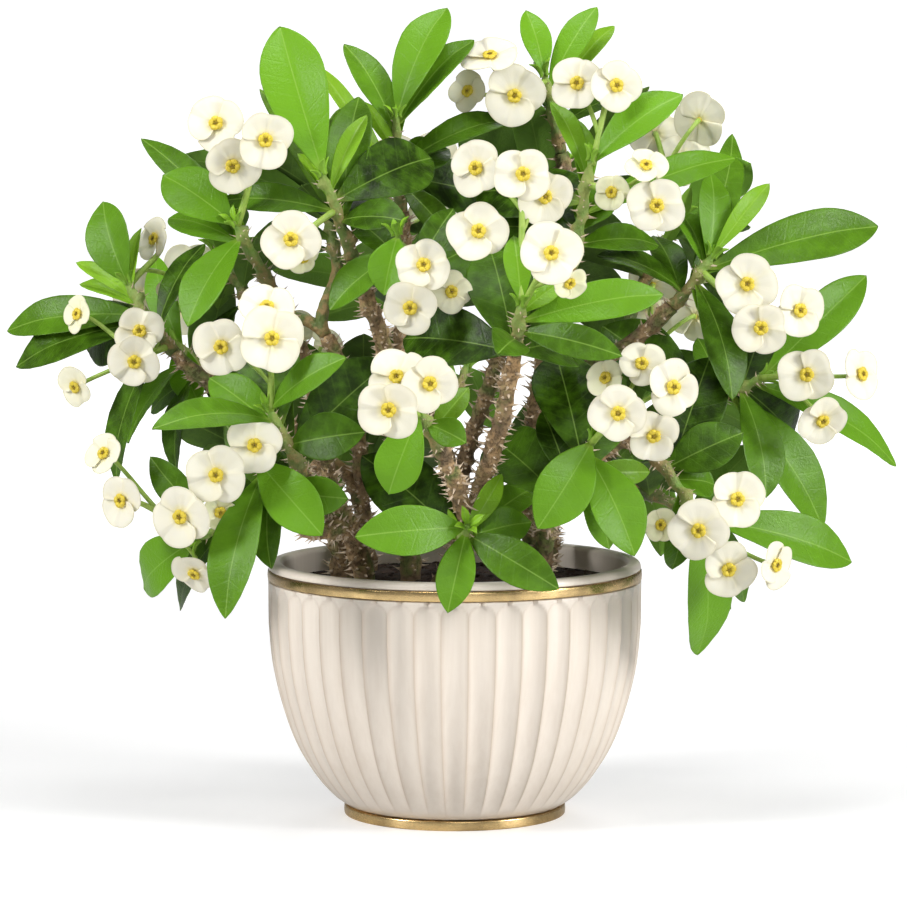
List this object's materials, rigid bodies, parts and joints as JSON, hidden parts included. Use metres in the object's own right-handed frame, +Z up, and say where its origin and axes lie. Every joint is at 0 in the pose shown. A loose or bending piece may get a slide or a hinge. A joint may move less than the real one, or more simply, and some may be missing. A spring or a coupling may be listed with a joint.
{
  "type": "potted crown of thorns plant",
  "caption": "Bushy crown of thorns plant with thorny woody stems, oval green leaves and clusters of cream blooms, in a fluted ceramic pot with a gold rim band and foot ring.",
  "frame": {"origin": "centre of the pot's underside, on the surface it stands on", "axes": "+Z up along the pot's axis; the front of the bush looks along -Y, and +X is to the right of a person who faces the front"},
  "size_m": [0.3677, 0.2645, 0.3294],
  "materials": {
    "glaze": "satin",
    "gold": "satin",
    "soil": "matte",
    "wood": "matte",
    "leaf": "satin",
    "bloom": "matte"
  },
  "bodies": {
    "root": {"pot": "glaze", "rim_band": "gold", "foot_ring": "gold", "soil": "soil", "stem_left_low": "wood", "stem_left": "wood", "stem_top": "wood", "stem_front": "wood", "stem_right_low": "wood", "stem_right": "wood", "stem_back_right": "wood", "stem_back": "wood", "stem_back_left": "wood", "shoot_left": "leaf", "shoot_left_dark": "leaf", "shoot_left_mid": "leaf", "shoot_left_high": "leaf", "shoot_left_low": "leaf", "shoot_left_edge": "leaf", "shoot_top_left": "leaf", "shoot_top": "leaf", "shoot_centre_high": "leaf", "shoot_top_back": "leaf", "shoot_top_right": "leaf", "shoot_right": "leaf", "shoot_right_edge": "leaf", "shoot_right_low": "leaf", "shoot_centre": "leaf", "shoot_front": "leaf", "shoot_right_mid": "leaf", "shoot_rim": "leaf", "shoot_back_right_low": "leaf", "shoot_back_right": "leaf", "shoot_back_middle": "leaf", "shoot_back_left_low": "leaf", "shoot_back_left": "leaf", "shoot_back_top": "leaf", "bloom_top_left": "bloom", "bloom_high_left": "bloom", "bloom_left_back": "bloom", "bloom_left_mid": "bloom", "bloom_left": "bloom", "bloom_left_front": "bloom", "bloom_left_low": "bloom", "bloom_centre_high": "bloom", "bloom_crown": "bloom", "bloom_top": "bloom", "bloom_top_right": "bloom", "bloom_right_high": "bloom", "bloom_centre": "bloom", "bloom_right": "bloom", "bloom_right_edge": "bloom", "bloom_front": "bloom", "bloom_right_mid": "bloom", "bloom_right_low": "bloom", "bloom_back_right": "bloom", "bloom_back_high": "bloom", "bloom_back_middle": "bloom", "bloom_back_left": "bloom", "bloom_back_edge": "bloom"}
  },
  "joints": []
}
